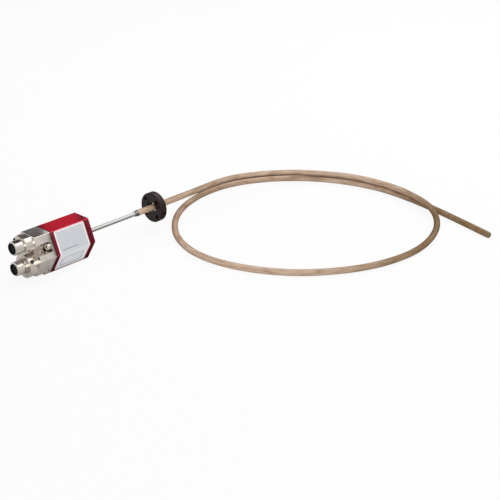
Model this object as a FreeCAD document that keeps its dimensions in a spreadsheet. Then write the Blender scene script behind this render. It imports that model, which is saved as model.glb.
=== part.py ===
import FreeCAD, Part
import math
import os
import Sketcher
from FreeCAD import Placement, Rotation, Vector

# Linear position sensor with a flexible measuring tube, in millimetres.
# The origin is on the rod's axis in the end cap's outer face: +X runs along the rod, +Z is up.

driving_sizes = {
    # Six-sided section of the head, seen along the rod: half widths and heights from the rod's axis.
    "top_half_width": 10.75,
    "top_height": 21.0,
    "knee_half_width": 20.4,
    "knee_drop": 2.5,
    "base_half_width": 6.4,
    "base_drop": 24.7,
    "edge_round": 1.4,
    # Lengths of the head's main pieces along the rod.
    "cap_thickness": 6.2,
    "cap_chamfer": 1.2,
    "gasket_thickness": 1.0,
    "sleeve_length": 41.3,
    "wall": 1.6,
    "block_length": 18.7,
    "fit_gap": 0.05,
    "seat_gap": 0.2,
    "board_gap": 0.4,
    "cutter_margin": 6.0,
    # Connector block: front nose, upper boss and the relief under its front half.
    "block_bevel": 0.7,
    "nose_length": 8.2,
    "nose_dia": 25.0,
    "boss_length": 8.8,
    "boss_dia": 19.6,
    "turned_bevel": 0.6,
    "relief_start": 6.7,
    "relief_depth": 3.2,
    "earth_hole_dia": 2.2,
    "earth_hole_depth": 2.5,
    "earth_hole_setback": 3.4,
    "earth_hole_rise": 6.0,
    # Two round data ports, one above the other.
    "port_y": -1.0,
    "upper_port_drop": 8.5,
    "port_pitch": 22.0,
    "port_length": 19.7,
    "port_bore_dia": 11.6,
    "port_bore_depth": 13.0,
    "shell_wall": 1.4,
    "shell_rim": 0.35,
    "collar_dia": 17.0,
    "collar_length": 2.6,
    "neck_depth": 0.6,
    "neck_length": 1.0,
    "core_dia": 8.4,
    "dimple_dia": 1.8,
    "dimple_depth": 0.9,
    "dimple_setback": 1.4,
    "dimple_angle": 30.0,
    "insert_base": 3.0,
    "insert_wall": 0.6,
    "insert_proud": 0.4,
    "insert_groove": 1.0,
    "insert_recess": 0.8,
    "insert_key_width": 1.4,
    "insert_key_depth": 0.9,
    "contact_circle": 5.4,
    "contact_dia": 1.0,
    "contact_recess": 2.0,
    # Small supply port on the far side.
    "supply_y": 11.2,
    "supply_drop": 8.0,
    "supply_length": 7.0,
    "supply_boss_dia": 10.0,
    "supply_boss_length": 2.5,
    "supply_dia": 7.4,
    "supply_bevel": 0.4,
    "supply_bore_dia": 6.0,
    "supply_bore_depth": 6.0,
    "supply_insert": 2.0,
    "supply_pin_circle": 2.7,
    "supply_pin_dia": 1.0,
    "supply_pin_recess": 1.5,
    # Status lamp in the side of the nose.
    "lamp_setback": 3.4,
    "lamp_angle": 33.0,
    "lamp_dia": 4.2,
    "lamp_depth": 2.0,
    "lamp_proud": 0.3,
    # Tie screws in the open channels of the upper flanks.
    "screw_inset": 3.9,
    "near_screw_along": 13.2,
    "far_screw_along": 17.0,
    "screw_dia": 4.0,
    "screw_head_dia": 7.0,
    "screw_head_height": 2.8,
    "screw_head_bevel": 0.4,
    "screw_key": 2.5,
    "screw_key_depth": 1.6,
    "screw_engagement": 3.0,
    "screw_hole_dia": 4.3,
    "washer_thickness": 0.8,
    "channel_room": 0.4,
    "channel_headroom": 2.0,
    "channel_wall": 2.4,
    # Bare nameplate foil on the near flank.
    "foil_thickness": 0.2,
    "foil_front_margin": 0.6,
    "foil_back_margin": 4.7,
    "foil_top_drop": 2.2,
    "foil_base_rise": 2.6,
    # Rod, its bush in the end cap and the ferrule that holds the flexible tube.
    "rod_dia": 4.5,
    "rod_bore_dia": 3.1,
    "bush_dia": 8.0,
    "bush_recess": 0.3,
    "bush_flange_dia": 11.0,
    "bush_flange": 2.0,
    "ferrule_start": 70.2,
    "ferrule_length": 3.9,
    "ferrule_dia": 7.0,
    "ferrule_lip": 1.1,
    "ferrule_waist_dia": 6.2,
    "rod_socket_depth": 2.2,
    # Measuring element inside the head.
    "can_bore_dia": 11.4,
    "can_wall": 0.8,
    "can_front_wall": 1.5,
    "rod_tail": 1.5,
    "bias_dia": 9.0,
    "bias_thickness": 1.8,
    "bobbin_length": 6.0,
    "bobbin_flange": 0.8,
    "bobbin_core_dia": 2.4,
    "coil_dia": 9.0,
    "damper_dia": 4.8,
    "damper_length": 5.5,
    "anchor_thickness": 1.8,
    "waveguide_dia": 0.8,
    "liner_dia": 2.9,
    "liner_bore_dia": 1.0,
    # Circuit boards.
    "board_thickness": 1.6,
    "board_drop": 9.0,
    "board_end_gap": 1.5,
    "rail_height": 1.0,
    "rail_reach": 1.2,
    "header_length": 2.5,
    "header_width": 14.0,
    "header_height": 4.5,
    # Ring magnet on the flexible tube.
    "magnet_place": 97.8,
    "magnet_dia": 32.8,
    "magnet_bore_dia": 13.5,
    "magnet_thickness": 7.9,
    "magnet_hole_dia": 4.3,
    "magnet_hole_circle": 23.9,
    "magnet_chamfer": 0.6,
    # Flexible tube and the plug in its far end.
    "tube_dia": 6.8,
    "plug_length": 2.5,
    "plug_dia": 6.0,
    "plug_bevel": 0.5,
}

# Route of the flexible tube after the ferrule: straight through the magnet, down in one loose turn
# that lies on the floor, under its own start, and out to the free end.
tube_route = [
    (209.8, 0, 0),
    (253.8, -4, -4),
    (297.8, -22, -9.5),
    (327.8, -58, -11),
    (342.8, -104, -11),
    (342.8, -153, -11),
    (329.8, -202, -11),
    (293.8, -238, -17),
    (243.8, -248, -21.2),
    (189.8, -241, -21.2),
    (143.8, -218, -21.2),
    (104.8, -184, -21.2),
    (79.8, -136, -21.2),
    (73.8, -85, -21.2),
    (92.8, -34, -21.2),
    (135.8, 8, -21.2),
    (193.8, 29, -21.2),
    (249.8, 24, -21.2),
    (301.8, -8, -21.2),
    (335.8, -54, -21.2),
    (351.8, -106, -21.2),
    (349.8, -152, -21.2),
    (342.8, -194, -21.2),
    (332.8, -237, -21.2),
    (321.8, -279, -21.2),
]
arc_share = 0.45

doc = FreeCAD.newDocument("linear_position_sensor")
sheet = doc.addObject("Spreadsheet::Sheet", "Sizes")
for row, (alias, size) in enumerate(driving_sizes.items(), 1):
    sheet.set(f"A{row}", alias)
    sheet.set(f"B{row}", str(size))
    sheet.setAlias(f"B{row}", alias)
doc.recompute()

# Stations along the rod, each measured from the one before it.
cap_inner = "-Sizes.cap_thickness"
sleeve_front = f"({cap_inner} - Sizes.gasket_thickness)"
sleeve_back = f"({sleeve_front} - Sizes.sleeve_length)"
block_back = f"({sleeve_back} - Sizes.gasket_thickness)"
block_front = f"({block_back} - Sizes.block_length)"
nose_front = f"({block_front} - Sizes.nose_length)"
boss_front = f"({block_front} - Sizes.boss_length)"
port_end = f"({block_front} - Sizes.port_length)"
shell_end = f"({port_end} + Sizes.insert_proud)"
port_floor = f"({port_end} + Sizes.port_bore_depth)"
insert_shoulder = f"({port_floor} - Sizes.insert_base)"
supply_end = f"({block_front} - Sizes.supply_length)"
supply_floor = f"({supply_end} + Sizes.supply_bore_depth)"
channel_end = f"({block_back} - Sizes.channel_wall)"
flange_back = f"({cap_inner} - Sizes.bush_flange)"
rod_back = f"({flange_back} - Sizes.can_front_wall - Sizes.rod_tail)"
bias_front = f"({rod_back} - Sizes.seat_gap)"
bias_back = f"({bias_front} - Sizes.bias_thickness)"
bobbin_front = f"({bias_back} - Sizes.seat_gap)"
bobbin_back = f"({bobbin_front} - Sizes.bobbin_length)"
damper_back = f"({bobbin_back} - Sizes.damper_length)"
anchor_back = f"({damper_back} - Sizes.anchor_thickness)"
can_back = f"({anchor_back} - Sizes.can_wall)"
interface_back = f"({sleeve_back} + Sizes.board_gap)"
interface_front = f"({interface_back} + Sizes.board_thickness)"
ferrule_end = "(Sizes.ferrule_start + Sizes.ferrule_length)"
rod_end = "(Sizes.ferrule_start + Sizes.rod_socket_depth)"

# Places across the head, and radii that several pieces share.
upper_port_z = "(Sizes.top_height - Sizes.upper_port_drop)"
lower_port_z = f"({upper_port_z} - Sizes.port_pitch)"
supply_z = "(Sizes.top_height - Sizes.supply_drop)"
shell_radius = "(Sizes.port_bore_dia / 2 + Sizes.shell_wall)"
insert_radius = "(Sizes.port_bore_dia / 2 - Sizes.fit_gap)"
thread_radius = f"({insert_radius} - Sizes.insert_wall)"
insert_nose = f"({thread_radius} - Sizes.insert_groove)"

head_section = [
    ("-Sizes.top_half_width", "Sizes.top_height"),
    ("-Sizes.knee_half_width", "-Sizes.knee_drop"),
    ("-Sizes.base_half_width", "-Sizes.base_drop"),
    ("Sizes.base_half_width", "-Sizes.base_drop"),
    ("Sizes.knee_half_width", "-Sizes.knee_drop"),
    ("Sizes.top_half_width", "Sizes.top_height"),
]


def number(text):
    return float(sheet.evalExpression(text))


def bind(item, expressions):
    for prop, text in expressions.items():
        item.setExpression(prop, text)
    return item


def outline(sketch, points):
    values = [(number(across), number(up)) for across, up in points]
    count = len(points)
    for index, (across, up) in enumerate(values):
        after = values[(index + 1) % count]
        sketch.addGeometry(Part.LineSegment(Vector(across, up, 0), Vector(*after, 0)))
    for index in range(count):
        sketch.addConstraint(Sketcher.Constraint("Coincident", index, 2, (index + 1) % count, 1))
    for index, texts in enumerate(points):
        for side, kind in enumerate(("DistanceX", "DistanceY")):
            rule = Sketcher.Constraint(kind, -1, 1, index, 1, values[index][side])
            place = sketch.addConstraint(rule)
            sketch.setExpression(f"Constraints[{place}]", texts[side])


def body_sketch(body, role, name):
    sketch = body.newObject("Sketcher::SketchObject", name)
    plane = next(item for item in body.Origin.OriginFeatures if item.Role == role)
    sketch.AttachmentSupport = [(plane, "")]
    sketch.MapMode = "FlatFace"
    return sketch


def names_where(kind, items, test):
    return [f"{kind}{index}" for index, item in enumerate(items, 1) if test(item)]


def runs_along_x(edge):
    return abs(edge.tangentAt(edge.FirstParameter).x) > 0.99


def section_body(label, start, length):
    body = doc.addObject("PartDesign::Body", label)
    sketch = body_sketch(body, "YZ_Plane", f"{label}_section")
    outline(sketch, head_section)
    pad = body.newObject("PartDesign::Pad", f"{label}_pad")
    pad.Profile = sketch
    pad.setExpression("Length", length)
    doc.recompute()
    rounds = body.newObject("PartDesign::Fillet", f"{label}_rounds")
    rounds.Base = (pad, names_where("Edge", pad.Shape.Edges, runs_along_x))
    rounds.setExpression("Radius", "Sizes.edge_round")
    body.setExpression("Placement.Base.x", start)
    doc.recompute()
    return body


def revolved(label, profile, y="0", z="0"):
    body = doc.addObject("PartDesign::Body", label)
    sketch = body_sketch(body, "XZ_Plane", f"{label}_profile")
    outline(sketch, profile)
    turn = body.newObject("PartDesign::Revolution", f"{label}_turn")
    turn.Profile = sketch
    turn.ReferenceAxis = (sketch, ["H_Axis"])
    turn.Angle = 360
    return bind(body, {"Placement.Base.y": y, "Placement.Base.z": z})


def bevel_rim(body, outermost, size):
    base = body.Tip
    outer = outermost(base.Shape.Faces, key=lambda face: face.CenterOfMass.x)
    rim = names_where("Edge", base.Shape.Edges, lambda edge: any(edge.isSame(side) for side in outer.Edges))
    bevel = body.newObject("PartDesign::Chamfer", f"{body.Label}_bevel")
    bevel.Base = (base, rim)
    bevel.setExpression("Size", size)
    body.Tip = bevel
    doc.recompute()


def rod(label, dia, start, end, y="0", z="0"):
    item = doc.addObject("Part::Cylinder", label)
    item.Placement = Placement(Vector(), Rotation(Vector(0, 1, 0), 90))
    sizes = {"Radius": f"{dia} / 2", "Height": f"({end}) - ({start})"}
    place = {"Placement.Base.x": start, "Placement.Base.y": y, "Placement.Base.z": z}
    return bind(item, sizes | place)


def side_rod(label, dia, inner, outer, x, z, angle):
    # A rod square to a port's axis, leaning up from the near side by the angle.
    item = doc.addObject("Part::Cylinder", label)
    lean = math.radians(number(angle))
    heading = Vector(0, -math.cos(lean), math.sin(lean))
    item.Placement = Placement(Vector(), Rotation(Vector(0, 0, 1), heading))
    place = {"Placement.Base.x": x, "Placement.Base.y": f"Sizes.port_y - {inner} * cos({angle} * 1 deg)",
             "Placement.Base.z": f"{z} + {inner} * sin({angle} * 1 deg)"}
    return bind(item, place | {"Radius": f"{dia} / 2", "Height": f"{outer} - {inner}"})


def box(label, x, y, z):
    item = doc.addObject("Part::Box", label)
    for side, (low, high) in zip(("Length", "Width", "Height"), (x, y, z)):
        item.setExpression(side, f"({high}) - ({low})")
    for axis, (low, high) in zip("xyz", (x, y, z)):
        item.setExpression(f"Placement.Base.{axis}", low)
    return item


def fuse(label, *items):
    item = doc.addObject("Part::MultiFuse", label)
    item.Shapes = list(items)
    item.Refine = True
    return item


def common(label, *items):
    item = doc.addObject("Part::MultiCommon", label)
    item.Shapes = list(items)
    item.Refine = True
    return item


def cut(label, base, *tools):
    tool = tools[0] if len(tools) == 1 else fuse(f"{label}_cuts", *tools)
    item = doc.addObject("Part::Cut", label)
    item.Base = base
    item.Tool = tool
    item.Refine = True
    return item


def group(label, items):
    item = doc.addObject("Part::Compound", label)
    item.Links = items
    return item


def pipe(label, dia, bore, start, end):
    return cut(label, rod(f"{label}_outside", dia, start, end), rod(f"{label}_bore", bore, start, end))


# The head's section once more as a free outline, for cavities and skins offset from it.
section = doc.addObject("Sketcher::SketchObject", "head_outline")
section.Placement = Placement(Vector(), Rotation(Vector(1, 1, 1), 120))
outline(section, head_section)


def section_prism(label, start, end, offset="0"):
    source = section
    if offset != "0":
        source = doc.addObject("Part::Offset2D", f"{label}_offset")
        source.Source = section
        source.Join = 2
        source.setExpression("Value", offset)
    item = doc.addObject("Part::Extrusion", label)
    item.Base = source
    item.DirMode = "Custom"
    item.Dir = Vector(1, 0, 0)
    item.Solid = True
    return bind(item, {"LengthFwd": end, "LengthRev": f"-({start})"})


def section_ring(label, start, length):
    end = f"({start} + {length})"
    hole = section_prism(f"{label}_hole", start, end, "-Sizes.wall")
    return cut(label, section_body(f"{label}_blank", start, length), hole)


# A tie screw's axis: so far down the upper flank from its top edge, so deep below its surface.
flank_across = "(Sizes.knee_half_width - Sizes.top_half_width)"
flank_down = "(Sizes.top_height + Sizes.knee_drop)"
flank_length = f"sqrt({flank_across}^2 + {flank_down}^2)"


def screw_axis(side):
    along = "Sizes.near_screw_along" if side < 0 else "Sizes.far_screw_along"
    across = f"{along} * {flank_across} - Sizes.screw_inset * {flank_down}"
    down = f"{along} * {flank_down} + Sizes.screw_inset * {flank_across}"
    y = f"{side} * (Sizes.top_half_width + ({across}) / {flank_length})"
    z = f"(Sizes.top_height - ({down}) / {flank_length})"
    return y, z


screw_sides = {"near": -1, "far": 1}
ports = {"upper": upper_port_z, "lower": lower_port_z}


# The status lamp's seat: a flat floor below the nose's round side.
lamp_floor = "(Sizes.nose_dia / 2 - Sizes.lamp_depth)"
lamp_place = (f"{nose_front} + Sizes.lamp_setback", lower_port_z, "Sizes.lamp_angle")

# The lower flanks, from the base up to the knee.
lower_across = "(Sizes.knee_half_width - Sizes.base_half_width)"
lower_down = "(Sizes.base_drop - Sizes.knee_drop)"
lower_length = f"sqrt({lower_across}^2 + {lower_down}^2)"


def contact_places(y, z, circle):
    for angle in (45, 135, 225, 315):
        arm = f"{circle} / 2"
        yield angle, f"{y} + {arm} * cos({angle} deg)", f"{z} + {arm} * sin({angle} deg)"


collar_front = f"({nose_front} - Sizes.collar_length)"
neck_front = f"({collar_front} - Sizes.neck_length)"
port_roots = {"upper": boss_front, "lower": neck_front}


def port_turning(name, z):
    # The turned shape of a port: its shell, and the round boss or the collar and nose that it stands on.
    tip = "(Sizes.port_bore_dia / 2 + Sizes.shell_rim)"
    tip_end = f"({shell_end} + Sizes.shell_wall - Sizes.shell_rim)"
    steps = [(shell_end, "0"), (shell_end, tip), (tip_end, shell_radius), (port_roots[name], shell_radius)]
    root, wide = boss_front, "Sizes.boss_dia / 2"
    if name == "lower":
        root, wide = nose_front, "Sizes.nose_dia / 2"
        neck = f"({shell_radius} - Sizes.neck_depth)"
        collar = "Sizes.collar_dia / 2"
        steps += [(neck_front, neck), (collar_front, neck), (collar_front, collar), (nose_front, collar)]
    steps += [(root, f"{wide} - Sizes.turned_bevel"), (f"{root} + Sizes.turned_bevel", wide),
              (block_front, wide), (block_front, "0")]
    return revolved(f"{name}_port_turning", steps, "Sizes.port_y", z)


def supply_turning():
    root = f"({block_front} - Sizes.supply_boss_length)"
    shell = "Sizes.supply_dia / 2"
    boss = "Sizes.supply_boss_dia / 2"
    steps = [(supply_end, "0"), (supply_end, f"{shell} - Sizes.supply_bevel"),
             (f"{supply_end} + Sizes.supply_bevel", shell), (root, shell), (root, boss), (block_front, boss),
             (block_front, "0")]
    return revolved("supply_turning", steps, "Sizes.supply_y", supply_z)


def screw_channel(name, side, reach):
    y, z = screw_axis(side)
    half = "(Sizes.screw_head_dia / 2 + Sizes.channel_room)"
    across = (f"-{reach}", f"({y} + {half})") if side < 0 else (f"({y} - {half})", reach)
    up = (f"({z} - {half})", f"({z} + {half} + Sizes.channel_headroom)")
    channel = box(f"{name}_channel", (block_front, channel_end), across, up)
    hole = rod(f"{name}_screw_hole", "Sizes.screw_hole_dia", channel_end, block_back, y, z)
    return [channel, hole]


def earth_hole():
    # A blind hole square to the lower near flank, so far up the flank from the base.
    item = doc.addObject("Part::Cylinder", "earth_hole")
    across = number("Sizes.knee_half_width - Sizes.base_half_width")
    down = number("Sizes.base_drop - Sizes.knee_drop")
    item.Placement = Placement(Vector(), Rotation(Vector(0, 0, 1), Vector(0, down, across)))
    share = f"Sizes.earth_hole_rise / {lower_length}"
    place = {"Placement.Base.x": f"{block_back} - Sizes.earth_hole_setback",
             "Placement.Base.y": f"-Sizes.base_half_width - {share} * {lower_across}",
             "Placement.Base.z": f"-Sizes.base_drop + {share} * {lower_down}"}
    return bind(item, place | {"Radius": "Sizes.earth_hole_dia / 2", "Height": "Sizes.earth_hole_depth"})


def connector_block():
    prism = section_body("block_prism", block_front, "Sizes.block_length")
    bevel_rim(prism, min, "Sizes.block_bevel")
    solids = [prism, supply_turning()]
    cuts = [rod("supply_bore", "Sizes.supply_bore_dia", port_end, supply_floor, "Sizes.supply_y", supply_z)]
    for name, z in ports.items():
        solids.append(port_turning(name, z))
        cuts.append(rod(f"{name}_bore", "Sizes.port_bore_dia", shell_end, port_floor, "Sizes.port_y", z))
        cuts.append(rod(f"{name}_core", "Sizes.core_dia", port_floor, block_back, "Sizes.port_y", z))
        place = (f"{port_roots[name]} - Sizes.dimple_setback", z, "Sizes.dimple_angle")
        inner = f"({shell_radius} - Sizes.dimple_depth)"
        outer = f"({shell_radius} + Sizes.dimple_depth)"
        cuts.append(side_rod(f"{name}_dimple", "Sizes.dimple_dia", inner, outer, *place))
    lamp_hole = "(Sizes.lamp_dia + 2 * Sizes.fit_gap)"
    lamp_outer = f"({lamp_floor} + Sizes.lamp_depth + Sizes.lamp_proud)"
    cuts.append(side_rod("lamp_pocket", lamp_hole, lamp_floor, lamp_outer, *lamp_place))
    relief_end = f"({block_back} - Sizes.relief_start)"
    reach = "(Sizes.knee_half_width + Sizes.cutter_margin)"
    low = "(-Sizes.base_drop - Sizes.cutter_margin)"
    high = "(-Sizes.base_drop + Sizes.relief_depth)"
    cuts.append(box("front_relief", (block_front, relief_end), (f"-{reach}", reach), (low, high)))
    above = ("Sizes.top_height", "(Sizes.top_height + Sizes.cutter_margin)")
    cuts.append(box("boss_flat", (boss_front, block_front), (f"-{reach}", reach), above))
    for name, side in screw_sides.items():
        cuts += screw_channel(name, side, reach)
    cuts.append(earth_hole())
    return cut("connector_block", fuse("block_casting", *solids), *cuts)


def socket_insert(name, z):
    # A threaded cup round a nose with four contact holes and a coding groove.
    face = f"({port_end} + Sizes.insert_recess)"
    profile = [(face, "0"), (face, insert_nose), (insert_shoulder, insert_nose),
               (insert_shoulder, thread_radius), (port_end, thread_radius), (port_end, insert_radius),
               (port_floor, insert_radius), (port_floor, "0")]
    blank = revolved(f"{name}_insert_blank", profile, "Sizes.port_y", z)
    dia = "(Sizes.contact_dia + 2 * Sizes.fit_gap)"
    cuts = [rod(f"{name}_contact_hole_{angle}", dia, face, port_floor, y, up)
            for angle, y, up in contact_places("Sizes.port_y", z, "Sizes.contact_circle")]
    half = "Sizes.insert_key_width / 2"
    up = (f"({z} + {insert_nose} - Sizes.insert_key_depth)", f"({z} + {thread_radius} - Sizes.fit_gap)")
    cuts.append(box(f"{name}_insert_key", (face, insert_shoulder),
                    (f"(Sizes.port_y - {half})", f"(Sizes.port_y + {half})"), up))
    return cut(f"{name}_socket_insert", blank, *cuts)


def socket_contacts():
    start = f"({port_end} + Sizes.contact_recess)"
    pins = [rod(f"{name}_contact_{angle}", "Sizes.contact_dia", start, interface_front, y, up)
            for name, z in ports.items()
            for angle, y, up in contact_places("Sizes.port_y", z, "Sizes.contact_circle")]
    return group("socket_contacts", pins)


def socket_seals():
    rings = []
    for name, z in ports.items():
        ring = doc.addObject("Part::Torus", f"{name}_seal")
        ring.Placement = Placement(Vector(), Rotation(Vector(0, 1, 0), 90))
        middle = f"({insert_nose} + {thread_radius}) / 2"
        half = "(Sizes.insert_groove / 2 - 2 * Sizes.fit_gap)"
        x = f"{insert_shoulder} - {half} - Sizes.fit_gap"
        place = {"Placement.Base.x": x, "Placement.Base.y": "Sizes.port_y", "Placement.Base.z": z}
        rings.append(bind(ring, {"Radius1": middle, "Radius2": half} | place))
    return group("socket_seals", rings)


def supply_insert():
    here = ("Sizes.supply_y", supply_z)
    face = f"({supply_floor} - Sizes.supply_insert)"
    dia = "(Sizes.supply_bore_dia - 2 * Sizes.fit_gap)"
    blank = rod("supply_insert_blank", dia, face, supply_floor, *here)
    dia = "(Sizes.supply_pin_dia + 2 * Sizes.fit_gap)"
    holes = [rod(f"supply_pin_hole_{angle}", dia, face, supply_floor, y, z)
             for angle, y, z in contact_places(*here, "Sizes.supply_pin_circle")]
    return cut("supply_port_insert", blank, *holes)


def supply_pins():
    tip = f"({supply_end} + Sizes.supply_pin_recess)"
    places = contact_places("Sizes.supply_y", supply_z, "Sizes.supply_pin_circle")
    pins = [rod(f"supply_pin_{angle}", "Sizes.supply_pin_dia", tip, supply_floor, y, z)
            for angle, y, z in places]
    return group("supply_pins", pins)


def status_lamp():
    # The lens follows the nose's curve and stands a little proud of it.
    outer = f"({lamp_floor} + Sizes.lamp_depth + Sizes.cutter_margin)"
    stem = side_rod("lamp_stem", "Sizes.lamp_dia", lamp_floor, outer, *lamp_place)
    dia = "(Sizes.nose_dia + 2 * Sizes.lamp_proud)"
    skin = rod("lamp_skin", dia, nose_front, block_front, "Sizes.port_y", lower_port_z)
    return common("status_lamp_lens", stem, skin)


def tie_screws():
    seat = f"({channel_end} - Sizes.washer_thickness)"
    crown = f"({seat} - Sizes.screw_head_height)"
    tip = f"({cap_inner} + Sizes.screw_engagement)"
    head = "Sizes.screw_head_dia / 2"
    shank = "Sizes.screw_dia / 2"
    bevel = "Sizes.screw_head_bevel"
    profile = [(crown, "0"), (crown, f"{head} - {bevel}"), (f"{crown} + {bevel}", head), (seat, head),
               (seat, shank), (tip, shank), (tip, "0")]
    screws = []
    washers = []
    for name, side in screw_sides.items():
        y, z = screw_axis(side)
        blank = revolved(f"{name}_screw_blank", profile, y, z)
        key = doc.addObject("Part::Prism", f"{name}_key")
        key.Polygon = 6
        key.Placement = Placement(Vector(), Rotation(Vector(0, 1, 0), 90))
        bind(key, {"Circumradius": "Sizes.screw_key / sqrt(3)", "Height": "Sizes.screw_key_depth"})
        bind(key, {"Placement.Base.x": crown, "Placement.Base.y": y, "Placement.Base.z": z})
        screws.append(cut(f"{name}_tie_screw", blank, key))
        outside = rod(f"{name}_washer_outside", "Sizes.screw_head_dia", seat, channel_end, y, z)
        bore = rod(f"{name}_washer_bore", "Sizes.screw_hole_dia", seat, channel_end, y, z)
        washers.append(cut(f"{name}_washer", outside, bore))
    return group("tie_screws", screws), group("sealing_washers", washers)


def housing_sleeve():
    blank = section_body("sleeve_blank", sleeve_back, "Sizes.sleeve_length")
    tube = cut("sleeve_tube", blank, section_prism("sleeve_cavity", sleeve_back, sleeve_front, "-Sizes.wall"))
    inner = f"({board_half} - Sizes.rail_reach)"
    reach = "Sizes.knee_half_width"
    over = (f"({board_top} + Sizes.fit_gap)", f"({board_top} + Sizes.fit_gap + Sizes.rail_height)")
    under = (f"({board_under} - Sizes.fit_gap - Sizes.rail_height)", f"({board_under} - Sizes.fit_gap)")
    bars = []
    for level, up in (("upper", over), ("lower", under)):
        bars.append(box(f"near_{level}_bar", (board_back, sleeve_front), (f"-{reach}", f"-{inner}"), up))
        bars.append(box(f"far_{level}_bar", (board_back, sleeve_front), (inner, reach), up))
    room = section_prism("rail_room", board_back, sleeve_front, "-Sizes.wall / 2")
    return fuse("housing_sleeve", tube, common("board_rails", fuse("rail_bars", *bars), room))


def nameplate_foil():
    back = f"({sleeve_back} + Sizes.foil_back_margin)"
    front = f"({sleeve_front} - Sizes.foil_front_margin)"
    skin = cut("foil_skin", section_prism("foil_outside", back, front, "Sizes.foil_thickness"),
               section_prism("foil_inside", back, front))
    near = ("-(Sizes.knee_half_width + Sizes.cutter_margin)", "-Sizes.base_half_width")
    up = ("(-Sizes.base_drop + Sizes.foil_base_rise)", "(Sizes.top_height - Sizes.foil_top_drop)")
    return common("nameplate_foil", skin, box("foil_window", (back, front), near, up))


def end_cap():
    blank = section_body("cap_blank", cap_inner, "Sizes.cap_thickness")
    bevel_rim(blank, max, "Sizes.cap_chamfer")
    cuts = [rod("bush_hole", "(Sizes.bush_dia + 2 * Sizes.fit_gap)", cap_inner, "0")]
    dia = "(Sizes.screw_dia + 2 * Sizes.fit_gap)"
    for name, side in screw_sides.items():
        depth = f"({cap_inner} + Sizes.screw_engagement)"
        cuts.append(rod(f"{name}_tapped_hole", dia, cap_inner, depth, *screw_axis(side)))
    return cut("end_cap", blank, *cuts)


def rod_bush():
    bore = "(Sizes.rod_dia / 2 + Sizes.fit_gap)"
    flange = "Sizes.bush_flange_dia / 2"
    barrel = "Sizes.bush_dia / 2"
    face = "-Sizes.bush_recess"
    profile = [(flange_back, bore), (flange_back, flange), (cap_inner, flange), (cap_inner, barrel),
               (face, barrel), (face, bore)]
    return revolved("rod_bush", profile)


def rod_ferrule():
    start = "Sizes.ferrule_start"
    lip = f"({ferrule_end} - Sizes.ferrule_lip)"
    waist = "Sizes.ferrule_waist_dia / 2"
    outside = "Sizes.ferrule_dia / 2"
    socket = "(Sizes.rod_dia / 2 + Sizes.fit_gap)"
    throat = "(Sizes.liner_dia / 2 + Sizes.fit_gap)"
    profile = [(start, socket), (start, waist), (lip, waist), (lip, outside), (ferrule_end, outside),
               (ferrule_end, throat), (rod_end, throat), (rod_end, socket)]
    return revolved("rod_ferrule", profile)


def measuring_element():
    wire_hole = "(Sizes.waveguide_dia + 2 * Sizes.fit_gap)"
    can_dia = "(Sizes.can_bore_dia + 2 * Sizes.can_wall)"
    inside = rod("can_inside", "Sizes.can_bore_dia", anchor_back, f"({flange_back} - Sizes.can_front_wall)")
    rod_hole = rod("can_rod_hole", "(Sizes.rod_dia + 2 * Sizes.fit_gap)", anchor_back, flange_back)
    can = cut("pickup_can", rod("can_outside", can_dia, can_back, flange_back), inside, rod_hole)
    seat_dia = "(Sizes.can_bore_dia - 2 * Sizes.fit_gap)"
    anchor = pipe("waveguide_anchor", seat_dia, wire_hole, anchor_back, damper_back)
    damper = pipe("damping_sleeve", "Sizes.damper_dia", wire_hole, damper_back, bobbin_back)
    rim = "(Sizes.can_bore_dia / 2 - Sizes.seat_gap)"
    core = "Sizes.bobbin_core_dia / 2"
    eye = f"{wire_hole} / 2"
    back_flange = f"({bobbin_back} + Sizes.bobbin_flange)"
    front_flange = f"({bobbin_front} - Sizes.bobbin_flange)"
    profile = [(bobbin_back, eye), (bobbin_back, rim), (back_flange, rim), (back_flange, core),
               (front_flange, core), (front_flange, rim), (bobbin_front, rim), (bobbin_front, eye)]
    bobbin = revolved("coil_bobbin", profile)
    winding = "(Sizes.bobbin_core_dia + 2 * Sizes.fit_gap)"
    coil = pipe("pickup_coil", "Sizes.coil_dia", winding, back_flange, front_flange)
    eye = "(Sizes.liner_dia + 2 * Sizes.fit_gap)"
    bias = pipe("bias_magnet", "Sizes.bias_dia", eye, bias_back, bias_front)
    liner = pipe("waveguide_liner", "Sizes.liner_dia", "Sizes.liner_bore_dia", bias_back, ferrule_end)
    wire = rod("waveguide_wire", "Sizes.waveguide_dia", anchor_back, ferrule_end)
    tube = pipe("rod_tube", "Sizes.rod_dia", "Sizes.rod_bore_dia", rod_back, rod_end)
    return [can, anchor, damper, bobbin, coil, bias, liner, wire, tube]


def interface_board():
    margin = "(Sizes.wall + Sizes.board_gap)"
    blank = section_prism("interface_blank", interface_back, interface_front, f"-{margin}")
    cuts = []
    for name, side in screw_sides.items():
        dia = "(Sizes.screw_hole_dia + Sizes.board_gap)"
        cuts.append(rod(f"{name}_board_hole", dia, interface_back, interface_front, *screw_axis(side)))
    dia = "(Sizes.contact_dia + 2 * Sizes.fit_gap)"
    for name, z in ports.items():
        for angle, y, up in contact_places("Sizes.port_y", z, "Sizes.contact_circle"):
            cuts.append(rod(f"{name}_board_eye_{angle}", dia, interface_back, interface_front, y, up))
    return cut("interface_board", blank, *cuts)


# Main board: its edges follow the lower flanks of the sleeve's cavity.
board_back = f"({interface_front} + Sizes.seat_gap)"
board_front = f"({sleeve_front} - Sizes.board_end_gap)"
board_top = "(-Sizes.board_drop)"
board_under = "(-Sizes.board_drop - Sizes.board_thickness)"
flank_lean = "((Sizes.knee_half_width - Sizes.base_half_width) / (Sizes.base_drop - Sizes.knee_drop))"
board_half = (f"(Sizes.knee_half_width + ({board_under} + Sizes.knee_drop) * {flank_lean}"
              f" - (Sizes.wall + Sizes.board_gap) * sqrt(1 + {flank_lean}^2))")


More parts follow.
